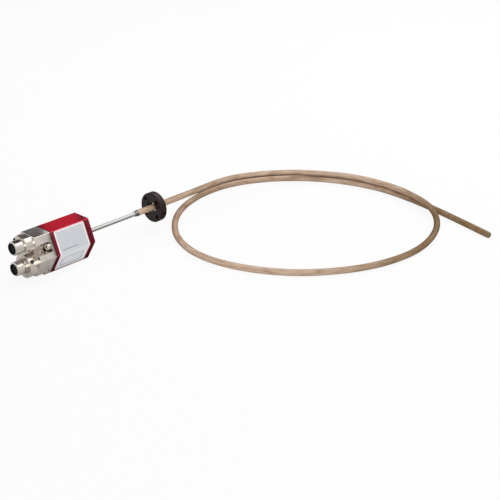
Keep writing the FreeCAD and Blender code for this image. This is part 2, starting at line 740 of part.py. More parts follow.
def main_board():
    board = box("main_circuit_board", (board_back, board_front), (f"-{board_half}", board_half),
                (board_under, board_top))
    header_end = f"({board_back} + Sizes.header_length)"
    half = "Sizes.header_width / 2"
    header = box("board_header", (board_back, header_end), (f"-{half}", half),
                 (board_top, f"({board_top} + Sizes.header_height)"))
    return board, header


# Chips on the main board: distance from its back edge, place across, length, width and height.
chips = {
    "processor": (5.0, -4.5, 9.0, 9.0, 1.4),
    "timing_array": (16.0, -7.5, 7.0, 7.0, 1.2),
    "supply_converter": (6.0, 7.0, 6.0, 5.0, 1.8),
    "bus_driver_a": (16.0, 4.0, 5.0, 4.0, 1.5),
    "bus_driver_b": (24.0, 4.0, 5.0, 4.0, 1.5),
}


def board_chips():
    items = []
    for name, (x, y, length, width, height) in chips.items():
        along = (f"({board_back} + {x})", f"({board_back} + {x + length})")
        across = (f"{y - width / 2}", f"{y + width / 2}")
        items.append(box(name, along, across, (board_top, f"({board_top} + {height})")))
    return group("board_chips", items)


def ring_magnet():
    body = doc.addObject("PartDesign::Body", "ring_magnet")
    half = "Sizes.magnet_thickness / 2"
    rim = "Sizes.magnet_dia / 2"
    bore = "Sizes.magnet_bore_dia / 2"
    bevel = "Sizes.magnet_chamfer"
    sketch = body_sketch(body, "XZ_Plane", "ring_profile")
    outline(sketch, [(f"-{half}", bore), (f"-{half}", f"{rim} - {bevel}"), (f"-{half} + {bevel}", rim),
                     (f"{half} - {bevel}", rim), (half, f"{rim} - {bevel}"), (half, bore)])
    turn = body.newObject("PartDesign::Revolution", "ring_turn")
    turn.Profile = sketch
    turn.ReferenceAxis = (sketch, ["H_Axis"])
    turn.Angle = 360
    holes = body_sketch(body, "YZ_Plane", "ring_hole")
    arm = "Sizes.magnet_hole_circle / 2 * cos(45 deg)"
    reach = number(arm)
    radius = number("Sizes.magnet_hole_dia / 2")
    holes.addGeometry(Part.Circle(Vector(reach, reach, 0), Vector(0, 0, 1), radius))
    for kind in ("DistanceX", "DistanceY"):
        place = holes.addConstraint(Sketcher.Constraint(kind, -1, 1, 0, 3, reach))
        holes.setExpression(f"Constraints[{place}]", arm)
    place = holes.addConstraint(Sketcher.Constraint("Radius", 0, radius))
    holes.setExpression(f"Constraints[{place}]", "Sizes.magnet_hole_dia / 2")
    pocket = body.newObject("PartDesign::Pocket", "ring_hole_cut")
    pocket.Profile = holes
    pocket.Type = "ThroughAll"
    pocket.Midplane = True
    four = body.newObject("PartDesign::PolarPattern", "ring_holes")
    four.Originals = [pocket]
    four.Axis = (holes, ["N_Axis"])
    four.Angle = 360
    four.Occurrences = 4
    body.Tip = four
    return bind(body, {"Placement.Base.x": "Sizes.magnet_place"})


def rounded_path(points):
    edges = []
    start = points[0]
    for before, corner, after in zip(points, points[1:], points[2:]):
        back = before - corner
        ahead = after - corner
        turn = math.pi - back.getAngle(ahead)
        setback = arc_share * min(back.Length, ahead.Length)
        radius = setback / math.tan(turn / 2)
        place = tuple(round(v, 1) for v in corner)
        print(f"bend at {place}: radius {radius:.0f}, turn {math.degrees(turn):.0f}")
        into = corner + back.normalize() * setback
        out = corner + ahead.normalize() * setback
        middle = (back + ahead).normalize()
        top = corner + middle * (radius / math.cos(turn / 2) - radius)
        edges.append(Part.LineSegment(start, into).toShape())
        edges.append(Part.Arc(into, top, out).toShape())
        start = out
    edges.append(Part.LineSegment(start, points[-1]).toShape())
    return Part.Wire(edges)


def flexible_tube():
    points = [Vector(number(ferrule_end), 0, 0)] + [Vector(*point) for point in tube_route]
    path = rounded_path(points)
    radius = number("Sizes.tube_dia / 2")
    ring = Part.Wire(Part.makeCircle(radius, points[0], points[1] - points[0]))
    shape = path.makePipeShell([ring], True, False)
    expected = math.pi * radius**2 * path.Length
    print(f"tube length {path.Length:.1f}, volume {shape.Volume:.0f} of {expected:.0f}")
    tube = doc.addObject("Part::Feature", "flexible_tube")
    tube.Shape = shape
    return tube, points[-1], points[-1] - points[-2]


def end_plug(end, heading):
    rim = "Sizes.plug_dia / 2"
    bevel = "Sizes.plug_bevel"
    profile = [("0", "0"), ("0", rim), (f"Sizes.plug_length - {bevel}", rim),
               ("Sizes.plug_length", f"{rim} - {bevel}"), ("Sizes.plug_length", "0")]
    plug = doc.addObject("PartDesign::Body", "end_plug")
    sketch = body_sketch(plug, "XZ_Plane", "plug_profile")
    outline(sketch, profile)
    turn = plug.newObject("PartDesign::Revolution", "plug_turn")
    turn.Profile = sketch
    turn.ReferenceAxis = (sketch, ["H_Axis"])
    turn.Angle = 360
    plug.Placement = Placement(end, Rotation(Vector(1, 0, 0), heading))
    return plug


tube, tube_end, tube_heading = flexible_tube()
subparts = [
    connector_block(),
    *[socket_insert(name, z) for name, z in ports.items()],
    socket_contacts(),
    socket_seals(),
    supply_insert(),
    supply_pins(),
    status_lamp(),
    *tie_screws(),
    section_ring("block_gasket", block_back, "Sizes.gasket_thickness"),
    housing_sleeve(),
    nameplate_foil(),
    section_ring("end_gasket", sleeve_front, "Sizes.gasket_thickness"),
    end_cap(),
    rod_bush(),
    rod_ferrule(),
    *measuring_element(),
    interface_board(),
    *main_board(),
    board_chips(),
    ring_magnet(),
    tube,
    end_plug(tube_end, tube_heading),
]
doc.recompute()

for item in doc.Objects:
    if {"Invalid", "Error"} & set(item.State):
        raise RuntimeError(f"{item.Label} failed: {item.State}")
for item in subparts:
    if item.Shape.isNull() or not item.Shape.isValid():
        raise RuntimeError(f"{item.Label} has no valid shape")

os.makedirs("parts", exist_ok=True)
for item in subparts:
    item.Shape.exportStep(f"parts/{item.Label}.step")
    print(item.Label, len(item.Shape.Solids), round(item.Shape.Volume, 1))
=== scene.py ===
import math

import bmesh
import bpy
from mathutils import Matrix, Vector


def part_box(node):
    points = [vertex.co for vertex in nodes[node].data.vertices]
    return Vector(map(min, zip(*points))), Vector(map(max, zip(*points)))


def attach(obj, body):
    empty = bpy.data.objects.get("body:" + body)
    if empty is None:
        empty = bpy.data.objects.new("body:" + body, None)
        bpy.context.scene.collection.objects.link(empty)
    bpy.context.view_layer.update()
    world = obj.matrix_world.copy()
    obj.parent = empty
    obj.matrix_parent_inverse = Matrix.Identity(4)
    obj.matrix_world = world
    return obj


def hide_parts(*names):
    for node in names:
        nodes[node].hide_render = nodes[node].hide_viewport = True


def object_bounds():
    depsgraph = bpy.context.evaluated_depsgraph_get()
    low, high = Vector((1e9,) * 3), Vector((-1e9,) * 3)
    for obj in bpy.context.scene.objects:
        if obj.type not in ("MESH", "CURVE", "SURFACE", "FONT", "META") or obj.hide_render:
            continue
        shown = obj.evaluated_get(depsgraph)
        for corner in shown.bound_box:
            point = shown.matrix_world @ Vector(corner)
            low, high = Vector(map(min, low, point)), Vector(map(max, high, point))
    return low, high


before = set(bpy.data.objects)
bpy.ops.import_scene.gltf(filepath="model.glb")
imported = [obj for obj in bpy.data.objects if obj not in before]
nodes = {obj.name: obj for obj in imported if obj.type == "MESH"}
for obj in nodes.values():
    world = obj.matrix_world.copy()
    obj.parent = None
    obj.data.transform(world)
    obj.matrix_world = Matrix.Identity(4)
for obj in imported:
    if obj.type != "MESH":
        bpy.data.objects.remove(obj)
cadLow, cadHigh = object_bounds()
mm = 0.001
floorLevel = cadLow.z
print("frame loaded with", len(nodes), "nodes")


def linear(hexCode):
    parts = [int(hexCode[i:i + 2], 16) / 255 for i in (1, 3, 5)]
    return (*[c / 12.92 if c <= 0.04045 else ((c + 0.055) / 1.055) ** 2.4 for c in parts], 1)


def perMetre(sizeMm):  # texture scale that gives features of this size
    return 1000 / sizeMm


noiseLow, noiseHigh = 0.3, 0.7  # where most of a noise texture's values lie


def addNode(mat, kind, inputs=None, **settings):
    node = mat.node_tree.nodes.new("ShaderNode" + kind)
    for index, (place, hexCode) in enumerate(settings.pop("stops", ())):  # a colour ramp's, in rising order
        elements = node.color_ramp.elements
        stop = elements[index] if index < len(elements) else elements.new(1)
        stop.position = place
        stop.color = linear(hexCode)
    for name, value in settings.items():
        setattr(node, name, value)
    for name, value in (inputs or {}).items():
        if isinstance(value, bpy.types.NodeSocket):
            mat.node_tree.links.new(value, node.inputs[name])
        else:
            node.inputs[name].default_value = value
    return node


def newMaterial(name):
    mat = bpy.data.materials.new(name)
    mat.use_nodes = True
    mat.node_tree.nodes.clear()
    return mat


def surface(mat, inputs):  # the one shader of a finish, and its output
    shader = addNode(mat, "BsdfPrincipled", inputs)
    addNode(mat, "OutputMaterial", {"Surface": shader.outputs["BSDF"]})
    return mat


def newObject(name, bm, *mats):
    mesh = bpy.data.meshes.new(name)
    bm.to_mesh(mesh)
    bm.free()
    for mat in mats:
        mesh.materials.append(mat)
    item = bpy.data.objects.new(name, mesh)
    bpy.context.scene.collection.objects.link(item)
    return item


def newPiece(name, bm, mats, body="head", smooth=None):
    # smooth is the angle in degrees up to which neighbouring faces shade as one
    bmesh.ops.recalc_face_normals(bm, faces=bm.faces)
    piece = newObject(name, bm, *mats)
    if smooth:
        for face in piece.data.polygons:
            face.use_smooth = True
        piece.data.set_sharp_from_angle(angle=math.radians(smooth))
    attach(piece, body)
    return piece


# camera, at the photograph's angle
view = dict(place=(-0.635, -0.8235, 0.4563), pitch=65.17, yaw=-47.06, lens=79.2, sensor=36, near=0.02)
cameraData = bpy.data.cameras.new("camera")
cameraData.lens = view["lens"]
cameraData.sensor_width = view["sensor"]
cameraData.clip_start = view["near"]
camera = bpy.data.objects.new("camera", cameraData)
camera.location = view["place"]
camera.rotation_euler = (math.radians(view["pitch"]), 0, math.radians(view["yaw"]))
bpy.context.scene.collection.objects.link(camera)
bpy.context.scene.camera = camera
bpy.context.scene.view_settings.view_transform = "Standard"

# studio: white to the eye, with a floor that is darker in reflections, and softer light on everything else
studio = dict(
    skyLight=0.5, floorSize=6.0, floorShade="#F4F4F4", floorGlow=0.88, mirrorGlow=0.12,
    keyPlace=(0.74, -0.1, 1.0), keySize=1.8, keyPower=13.0,
    fillPlace=(-0.75, -0.95, 0.26), fillSize=0.5, fillPower=2.6,
    target=(0.1, -0.08, -0.02))

# cards that only reflections show, to draw the edges of bright metal and the red flanks on white;
# a card is aimed from its place, in metres, or spans four corners, in mm
cardBlack, cardWhite = "#0C0B0A", "#FFFFFF"
cards = [
    dict(name="back_card", place=(0.95, 1.2, 0.5), aim=studio["target"], size=(2.6, 1.1), shade="#9A989A"),
    dict(name="block_card", place=(0.06, 0.1, 0.2), aim=(-0.08, 0, 0.02), size=(0.2, 0.2), shade=cardBlack),
    dict(name="rod_card", place=(0.06, -0.07, -0.0235), aim=(0.06, -0.07, 1), size=(0.14, 0.12),
         shade="#6A6866"),
    dict(name="rod_back_card", shade=cardWhite,
         corners=[(2, 12, -6), (78, 12, -6), (78, 12, 16), (2, 12, 16)]),
    dict(name="flank_card", place=(0.003, -0.054, 0.012), aim=(-0.022, -0.018, 0.002), size=(0.046, 0.04),
         shade=cardBlack),
    dict(name="base_card", shade=cardBlack,
         corners=[(-49.5, -6.9, -24.3), (-12.5, -40, -24.3), (25, -40, -24.3), (25, -6.9, -24.3)]),
    dict(name="upper_rim_card", shade=cardBlack,
         corners=[(-35.2, -35, 27.8), (-19, -35, 27.8), (-19, -44.7, 2.3), (-35.2, -44.7, 2.3)]),
    dict(name="lower_rim_card", shade=cardBlack,
         corners=[(-47.3, -20.2, -5.9), (-42.3, -20.2, -5.9), (-42.3, -8.8, -24), (-47.3, -8.8, -24)]),
    dict(name="top_card", place=(0.006, 0.044, 0.045), aim=(-0.028, 0, 0.021), size=(0.036, 0.05),
         shade=cardWhite),
]


def lookedAt(mat):  # 1 where the eye, a mirror or clear plastic meets the surface
    path = addNode(mat, "LightPath")
    direct = addNode(mat, "Math", {0: path.outputs["Is Camera Ray"], 1: path.outputs["Is Glossy Ray"]},
                     operation="MAXIMUM")
    return addNode(mat, "Math", {0: direct.outputs[0], 1: path.outputs["Is Transmission Ray"]},
                   operation="MAXIMUM").outputs[0]


def buildWorld():
    world = bpy.data.worlds.new("studio")
    world.use_nodes = True
    world.node_tree.nodes.clear()
    seen = addNode(world, "Background", {"Color": (1, 1, 1, 1), "Strength": 1.0})
    light = addNode(world, "Background", {"Color": (1, 1, 1, 1), "Strength": studio["skyLight"]})
    pick = addNode(world, "MixShader", {0: lookedAt(world), 1: light.outputs[0], 2: seen.outputs[0]})
    addNode(world, "OutputWorld", {"Surface": pick.outputs[0]})
    bpy.context.scene.world = world


def buildFloor():
    mat = newMaterial("studio_floor")
    shade = addNode(mat, "BsdfDiffuse", {"Color": linear(studio["floorShade"])})
    glow = addNode(mat, "Emission", {"Color": (1, 1, 1, 1), "Strength": 1.0})
    direct = addNode(mat, "LightPath").outputs["Is Camera Ray"]
    # in reflections the floor glows less than to the eye, so that metal mirrors a shaded floor
    eyeShare = studio["floorGlow"] - studio["mirrorGlow"]
    share = addNode(mat, "Math", {0: direct, 1: eyeShare, 2: studio["mirrorGlow"]}, operation="MULTIPLY_ADD")
    white = addNode(mat, "MixShader", {0: share.outputs[0], 1: shade.outputs[0], 2: glow.outputs[0]})
    pick = addNode(mat, "MixShader", {0: lookedAt(mat), 1: shade.outputs[0], 2: white.outputs[0]})
    addNode(mat, "OutputMaterial", {"Surface": pick.outputs[0]})
    bm = bmesh.new()
    bmesh.ops.create_grid(bm, x_segments=1, y_segments=1, size=studio["floorSize"] / 2)
    bmesh.ops.translate(bm, verts=bm.verts, vec=(0, 0, floorLevel))
    newObject("floor", bm, mat)


def facing(place, aim):  # the turn that points -Z from a place to what it aims at
    return (Vector(aim) - Vector(place)).to_track_quat("-Z", "Y")


def buildLamp(name):
    lamp = bpy.data.lights.new(name, "AREA")
    lamp.size = studio[name + "Size"]
    lamp.energy = studio[name + "Power"]
    item = bpy.data.objects.new(name, lamp)
    item.location = studio[name + "Place"]
    item.rotation_euler = facing(studio[name + "Place"], studio["target"]).to_euler()
    bpy.context.scene.collection.objects.link(item)


def buildCard(card):
    mat = newMaterial(card["name"])
    glow = addNode(mat, "Emission", {"Color": linear(card["shade"]), "Strength": 1.0})
    addNode(mat, "OutputMaterial", {"Surface": glow.outputs[0]})
    bm = bmesh.new()
    if "corners" in card:
        bm.faces.new([bm.verts.new(Vector(place) * mm) for place in card["corners"]])
    else:
        bmesh.ops.create_grid(bm, x_segments=1, y_segments=1, size=0.5)
        bmesh.ops.scale(bm, verts=bm.verts, vec=(*card["size"], 1))
        turn = Matrix.LocRotScale(Vector(card["place"]), facing(card["place"], card["aim"]), None)
        bmesh.ops.transform(bm, verts=bm.verts, matrix=turn)
    item = newObject(card["name"], bm, mat)
    item.visible_camera = False
    item.visible_diffuse = False
    item.visible_transmission = False
    item.visible_shadow = False


buildWorld()
buildFloor()
for lampName in ("key", "fill"):
    buildLamp(lampName)
for card in cards:
    buildCard(card)
print("camera and studio set")


# finishes: a function for each that has a pattern of its own, and one for the plain grains
def nickelCasting():
    # satin nickel plate on a zinc die casting: warm grey metal with the casting's faint grain
    look = dict(pale="#CFC8C1", deep="#BDB5AD", patchMm=9.0, grainMm=0.5, grainDepthMm=0.02,
                smoothest=0.15, roughest=0.22)
    mat = newMaterial("nickel_casting")
    where = addNode(mat, "TexCoord").outputs["Object"]
    patch = addNode(mat, "TexNoise", {"Vector": where, "Scale": perMetre(look["patchMm"]), "Detail": 3.0})
    grain = addNode(mat, "TexNoise", {"Vector": where, "Scale": perMetre(look["grainMm"]), "Detail": 2.0})
    tint = addNode(mat, "ValToRGB", {0: patch.outputs[0]},
                   stops=[(noiseLow, look["deep"]), (noiseHigh, look["pale"])])
    gloss = addNode(mat, "MapRange", {0: patch.outputs[0], 1: noiseLow, 2: noiseHigh,
                                      3: look["smoothest"], 4: look["roughest"]})
    bump = addNode(mat, "Bump", {"Height": grain.outputs[0], "Strength": 0.3,
                                 "Distance": look["grainDepthMm"] * mm})
    return surface(mat, {"Base Color": tint.outputs[0], "Metallic": 1.0, "Roughness": gloss.outputs[0],
                         "Normal": bump.outputs[0]})


def redAnodised():
    # red anodised aluminium extrusion: satin dyed skin with faint drawing lines along the profile
    look = dict(red="#BE3E54", deep="#AA3246", edge="#E0485A", lineMm=0.35, lineRunMm=40.0, lineDepthMm=0.012)
    mat = newMaterial("red_anodised")
    where = addNode(mat, "TexCoord").outputs["Object"]
    stretch = addNode(mat, "Mapping", {"Vector": where, "Scale": (look["lineMm"] / look["lineRunMm"], 1, 1)})
    lines = addNode(mat, "TexNoise", {"Vector": stretch.outputs[0], "Scale": perMetre(look["lineMm"]),
                                      "Detail": 2.0})
    tint = addNode(mat, "ValToRGB", {0: lines.outputs[0]}, stops=[(0.25, look["deep"]), (0.7, look["red"])])
    bump = addNode(mat, "Bump", {"Height": lines.outputs[0], "Strength": 0.3,
                                 "Distance": look["lineDepthMm"] * mm})
    return surface(mat, {"Base Color": tint.outputs[0], "Metallic": 0.85, "Roughness": 0.3,
                         "Specular IOR Level": 0.15, "Specular Tint": linear(look["edge"]),
                         "Normal": bump.outputs[0]})


def speckled(name, pale, deep, roughness, grainMm, depthMm=0.02, metallic=0.0, specular=0.5):
    # a finish whose colour and height follow one fine grain of this size and depth
    mat = newMaterial(name)
    where = addNode(mat, "TexCoord").outputs["Object"]
    grain = addNode(mat, "TexNoise", {"Vector": where, "Scale": perMetre(grainMm), "Detail": 3.0})
    tint = addNode(mat, "ValToRGB", {0: grain.outputs[0]}, stops=[(noiseLow, deep), (noiseHigh, pale)])
    bump = addNode(mat, "Bump", {"Height": grain.outputs[0], "Strength": 0.4, "Distance": depthMm * mm})
    return surface(mat, {"Base Color": tint.outputs[0], "Metallic": metallic, "Roughness": roughness,
                         "Specular IOR Level": specular, "Normal": bump.outputs[0]})


def brightSteel():
    # drawn and ground stainless bar: bright, with fine rings left by centreless grinding
    look = dict(pale="#BEBEBC", deep="#AAAAA8", ringMm=0.3, across=0.04, smoothest=0.44, roughest=0.52)
    mat = newMaterial("bright_steel")
    where = addNode(mat, "TexCoord").outputs["Object"]
    squash = addNode(mat, "Mapping", {"Vector": where, "Scale": (1, look["across"], look["across"])})
    rings = addNode(mat, "TexNoise", {"Vector": squash.outputs[0], "Scale": perMetre(look["ringMm"]),
                                      "Detail": 2.0})
    tint = addNode(mat, "ValToRGB", {0: rings.outputs[0]},
                   stops=[(noiseLow, look["deep"]), (noiseHigh, look["pale"])])
    gloss = addNode(mat, "MapRange", {0: rings.outputs[0], 1: noiseLow, 2: noiseHigh,
                                      3: look["smoothest"], 4: look["roughest"]})
    return surface(mat, {"Base Color": tint.outputs[0], "Metallic": 1.0, "Roughness": gloss.outputs[0]})


def tanBraid():
    # varnished textile braid over the tube: crossing flat yarns, drawn wider than real so that they show;
    # it is browner and darker in four long stretches, the last one at the free end
    look = dict(
        fresh=["#E6CCB7", "#D0B39C", "#F4E1CF"], brown=["#8B714A", "#705737", "#A2855C"],
        yarns=10, crossingMm=2.4, depthMm=0.25,
        # how far the tube is browner and darker, by metres along the tube up to reach, and how patchy it is
        darkStretches=[(0.03, "#000000"), (0.09, "#BCBCBC"), (0.26, "#000000"), (0.34, "#000000"),
              (0.46, "#FFFFFF"), (0.54, "#FFFFFF"), (0.68, "#000000"), (0.88, "#000000"),
              (0.97, "#DADADA"), (1.08, "#000000"), (1.17, "#000000"), (1.29, "#F4F4F4")],
        reach=1.4, browned=0.8, patchMm=14.0, patchLow=0.25, patchHigh=0.75, brownFrom=0.4, brownTo=1.3,
        # long uneven streaks where the varnish ran
        streaks=[(0.33, "#D6C9BD"), (0.5, "#FAF3EC"), (0.67, "#FFFFFF")],
        girthMm=21.4, streakMm=2.0, streakRunMm=18.0,
        # painted shade: the braid darkens where it is seen edge-on, towards its outline
        edges=[(0.45, "#FFFFFF"), (0.9, "#A88C78")],
        # painted shadow on the lower side of the first pass, which draws the dark line between the two passes
        passShadow=[(0.08, "#000000"), (0.1, "#FFFFFF"), (0.2, "#FFFFFF"), (0.3, "#BCBCBC"), (0.38, "#000000")],
        below=[(0.43, "#000000"), (0.52, "#F0F0F0"), (0.72, "#F0F0F0"), (0.8, "#000000")], shadowTone="#3C2410")
    mat = newMaterial("tan_braid")
    coords = addNode(mat, "TexCoord")
    around, along = addNode(mat, "SeparateXYZ", {0: coords.outputs["UV"]}).outputs[:2]
    turn = addNode(mat, "Math", {0: around, 1: look["yarns"] * math.pi}, operation="MULTIPLY").outputs[0]
    run = addNode(mat, "Math", {0: along, 1: math.pi / (look["crossingMm"] * mm)},
                  operation="MULTIPLY").outputs[0]
    right = addNode(mat, "Math", {0: turn, 1: run}, operation="ADD").outputs[0]
    left = addNode(mat, "Math", {0: turn, 1: run}, operation="SUBTRACT").outputs[0]
    rightWave = addNode(mat, "Math", {0: right}, operation="SINE").outputs[0]
    leftWave = addNode(mat, "Math", {0: left}, operation="SINE").outputs[0]
    weave = addNode(mat, "Math", {0: rightWave, 1: leftWave}, operation="MULTIPLY").outputs[0]
    height = addNode(mat, "Math", {0: weave}, operation="ABSOLUTE").outputs[0]
    yarn = addNode(mat, "MapRange", {0: weave, 1: -1.0, 2: 1.0}).outputs[0]
    tints = []
    for name in ("fresh", "brown"):
        deep, groove, pale = look[name]
        stops = [(0.15, deep), (0.5, groove), (0.85, pale)]
        tints.append(addNode(mat, "ValToRGB", {0: yarn}, stops=stops).outputs[0])
    reached = addNode(mat, "Math", {0: along, 1: look["reach"]}, operation="DIVIDE").outputs[0]
    levels = []
    for name in ("darkStretches", "passShadow"):
        stops = [(metres / look["reach"], grey) for metres, grey in look[name]]
        levels.append(addNode(mat, "ValToRGB", {0: reached}, stops=stops).outputs[0])
    darkStretch, passShadow = levels
    patch = addNode(mat, "TexNoise", {"Vector": coords.outputs["Object"], "Scale": perMetre(look["patchMm"]),
                                      "Detail": 3.0}).outputs[0]
    soft = addNode(mat, "MapRange", {0: patch, 3: look["patchLow"], 4: look["patchHigh"]}).outputs[0]
    spread = addNode(mat, "Math", {0: darkStretch, 1: look["browned"], 2: soft}, operation="MULTIPLY_ADD").outputs[0]
    share = addNode(mat, "MapRange", {0: spread, 1: look["brownFrom"], 2: look["brownTo"]}).outputs[0]
    tint = addNode(mat, "Mix", {0: share, 6: tints[0], 7: tints[1]}, data_type="RGBA").outputs[2]
    stretch = look["girthMm"] * mm * look["streakRunMm"] / look["streakMm"]
    drawn = addNode(mat, "Mapping", {"Vector": coords.outputs["UV"], "Scale": (stretch, 1, 1)}).outputs[0]
    flow = addNode(mat, "TexNoise", {"Vector": drawn, "Scale": perMetre(look["streakRunMm"]),
                                     "Detail": 2.0}).outputs[0]
    streak = addNode(mat, "ValToRGB", {0: flow}, stops=look["streaks"]).outputs[0]
    # painted shade: darker where the tube is seen edge-on
    slant = addNode(mat, "LayerWeight", {"Blend": 0.5}).outputs["Facing"]
    edge = addNode(mat, "ValToRGB", {0: slant}, stops=look["edges"]).outputs[0]
    for tone in (streak, edge):
        tint = addNode(mat, "Mix", {0: 1.0, 6: tint, 7: tone}, data_type="RGBA",
                       blend_type="MULTIPLY").outputs[2]
    # painted shadow between the two passes, on the lower side of the first pass
    below = addNode(mat, "ValToRGB", {0: around}, stops=look["below"]).outputs[0]
    shadowMask = addNode(mat, "Math", {0: passShadow, 1: below}, operation="MULTIPLY").outputs[0]
    shadowed = addNode(mat, "Mix", {0: shadowMask, 6: tint, 7: linear(look["shadowTone"])}, data_type="RGBA").outputs[2]
    bump = addNode(mat, "Bump", {"Height": height, "Strength": 0.6, "Distance": look["depthMm"] * mm})
    return surface(mat, {"Base Color": shadowed, "Roughness": 0.65, "Specular IOR Level": 0.25,
                         "Normal": bump.outputs[0]})


finishOf = {
    "nickel_casting": nickelCasting(),
    "red_anodised": redAnodised(),
    # printed foil, bare: satin silver-grey
    "plain_foil": speckled("plain_foil", "#D8DCE0", "#D1D5DA", 0.35, 0.6, 0.004),
    # glass-filled nylon mouldings: black, fine matt skin
    "black_moulding": speckled("black_moulding", "#0C0C0D", "#060607", 0.6, 0.25, specular=0.12),
    # gold flash on brass contacts
    "gold_contact": speckled("gold_contact", "#E0B868", "#CFA050", 0.28, 0.4, 0.004, 1.0),
    # nitrile rubber
    "black_rubber": speckled("black_rubber", "#141213", "#0B0A0A", 0.7, 0.4, specular=0.2),
    # smoked polycarbonate lamp window
    "lamp_lens": speckled("lamp_lens", "#23211C", "#171511", 0.12, 1.2, 0.003),
    "bright_steel": brightSteel(),
    # pressed plastic-bonded ferrite: near black with a faint warm sheen
    "magnet_compound": speckled("magnet_compound", "#2C1817", "#1B0E0E", 0.32, 0.35, specular=0.18),
    "tan_braid": tanBraid(),
    # drawn mild steel can
    "shield_steel": speckled("shield_steel", "#B4B4B4", "#9C9C9C", 0.35, 0.5, 0.006, 1.0),
    "brass_anchor": speckled("brass_anchor", "#C8A45A", "#B08E48", 0.3, 0.5, 0.006, 1.0),
    # enamelled copper wire
    "copper_winding": speckled("copper_winding", "#B8693C", "#96502C", 0.35, 0.3, 0.03, 0.9),
    "white_plastic": speckled("white_plastic", "#E6E5E0", "#DAD9D4", 0.45, 0.5),
    "bias_ferrite": speckled("bias_ferrite", "#3A3A3C", "#2A2A2C", 0.55, 0.3),
    # solder-masked glass laminate
    "board_laminate": speckled("board_laminate", "#1F6B3C", "#175630", 0.35, 0.8, 0.01),
    "chip_package": speckled("chip_package", "#2A2A2C", "#1E1E20", 0.55, 0.25),
}
for node in nodes.values():
    slots = [slot.material.name.split(".")[0] for slot in node.material_slots]
    for index, slotName in enumerate(slots):
        node.material_slots[index].material = finishOf[slotName]
# nodes with a finish of their own: a grey swaged ferrule beside the bright rod, zinc-plated screws, and a
# dark red silicone seal under the end cap
ownFinish = {
    "rod_ferrule": speckled("swaged_steel", "#918A85", "#7C7570", 0.35, 0.4, 0.01, 1.0),
    "tie_screws": speckled("screw_plate", "#DEDAD2", "#CFCBC3", 0.42, 0.4, 0.006, 1.0),
    "end_gasket": speckled("red_silicone", "#6E1420", "#5C0F1A", 0.5, 0.4, specular=0.2),
}
for name, finish in ownFinish.items():
    nodes[name].material_slots[0].material = finish
print("finishes on", len(nodes), "nodes")

# flexible tube, laid in one loose turn whose first pass rests on the second at the far side;
# sizes in mm, apart from its length, in metres
tube = dict(
    diameter=6.8, sides=20, steps=24, length=1.367,
    plug=6.5, plugLength=2.5, plugBevel=0.2, plugSides=32, plugBevelSteps=2,
    route=[
        (74.1, 0, 0), (157.8, 0, 0), (209.8, 2, -0.2), (255.8, -2, -6.5), (297.8, -16, -11.7),
        (327.8, -43, -14.3), (346.8, -84, -14.2), (351.8, -128, -14.2), (344.5, -168.6, -14.2),
        (327.6, -206.6, -14.4), (292.7, -236.6, -18), (243, -249.2, -21.2), (189, -242.4, -21.2),
        (142.8, -219.2, -21.2), (104.8, -184, -21.2), (79.8, -136, -21.2), (73.8, -85, -21.2),
        (93, -35, -21.2), (137, 7.7, -21.2), (194.2, 27.9, -21.2), (249.7, 23.5, -21.2),
        (301.2, -9, -21.2), (335, -55.2, -21.2), (351.2, -107, -21.2), (349.8, -152, -21.2),
        (342.8, -194, -21.2), (332.8, -237, -21.2), (321.8, -279, -21.2),
    ])


def tubeCurve():
    curve = bpy.data.curves.new("tube_line", "CURVE")
    curve.dimensions = "3D"
    curve.resolution_u = tube["steps"]
    spline = curve.splines.new("NURBS")
    spline.points.add(len(tube["route"]) - 1)
    for point, place in zip(spline.points, tube["route"]):
        point.co = (*Vector(place) * mm, 1)
    spline.order_u = 3
    spline.use_endpoint_u = True
    return bpy.data.objects.new("tube_line", curve)


def mapBraid(mesh, lengths, sides):  # u once round the tube, v in metres along it
    layer = mesh.uv_layers.active.data
    for face in mesh.polygons:
        steps = [mesh.loops[corner].vertex_index % sides for corner in face.loop_indices]
        wraps = max(steps) - min(steps) > 1
        for corner, step in zip(face.loop_indices, steps):
            ring = min(mesh.loops[corner].vertex_index // sides, len(lengths) - 1)
            turn = 1.0 if wraps and step == 0 else step / sides
            layer[corner].uv = (turn, lengths[ring])


def buildPlug():  # the crimped end, cut off square
    end, before = (Vector(tube["route"][i]) * mm for i in (-1, -2))
    bm = bmesh.new()
    radius, length = tube["plug"] / 2 * mm, tube["plugLength"] * mm
    bmesh.ops.create_cone(bm, cap_ends=True, segments=tube["plugSides"], radius1=radius, radius2=radius,
                          depth=length)
    rims = [e for e in bm.edges if len({round(v.co.z, 5) for v in e.verts}) == 1]
    bmesh.ops.bevel(bm, geom=rims, offset=tube["plugBevel"] * mm, segments=tube["plugBevelSteps"],
                    profile=0.5, affect="EDGES", material=-1)
    heading = (end - before).normalized()
    turn = Matrix.LocRotScale(end + heading * length / 2, heading.to_track_quat("Z", "Y"), None)
    bmesh.ops.transform(bm, verts=bm.verts, matrix=turn)
    # varnish over dull steel
    varnished = speckled("crimped_end", "#84714F", "#6A5A3E", 0.6, 0.9, 0.03)
    plug = newPiece("tube_plug", bm, [varnished], smooth=40)
    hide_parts("end_plug")
    return plug


def buildTube():
    line = tubeCurve()
    bare = bpy.data.meshes.new_from_object(line)
    points = [vertex.co.copy() for vertex in bare.vertices]
    line.data.bevel_depth = tube["diameter"] / 2 * mm
    line.data.bevel_resolution = tube["sides"] // 2 - 2
    line.data.use_fill_caps = True
    mesh = bpy.data.meshes.new_from_object(line)
    lengths = [0.0]
    for before, after in zip(points, points[1:]):
        lengths.append(lengths[-1] + (after - before).length)
    mapBraid(mesh, lengths, tube["sides"])
    for face in mesh.polygons:
        face.use_smooth = True
    mesh.materials.clear()
    mesh.materials.append(finishOf["tan_braid"])
    piece = bpy.data.objects.new("braided_tube", mesh)
    bpy.context.scene.collection.objects.link(piece)
    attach(piece, "head")
    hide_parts("flexible_tube")
    buildPlug()
    print("tube laid,", round(lengths[-1], 3), "m,", len(mesh.vertices), "vertices,", len(points), "rings")


buildTube()

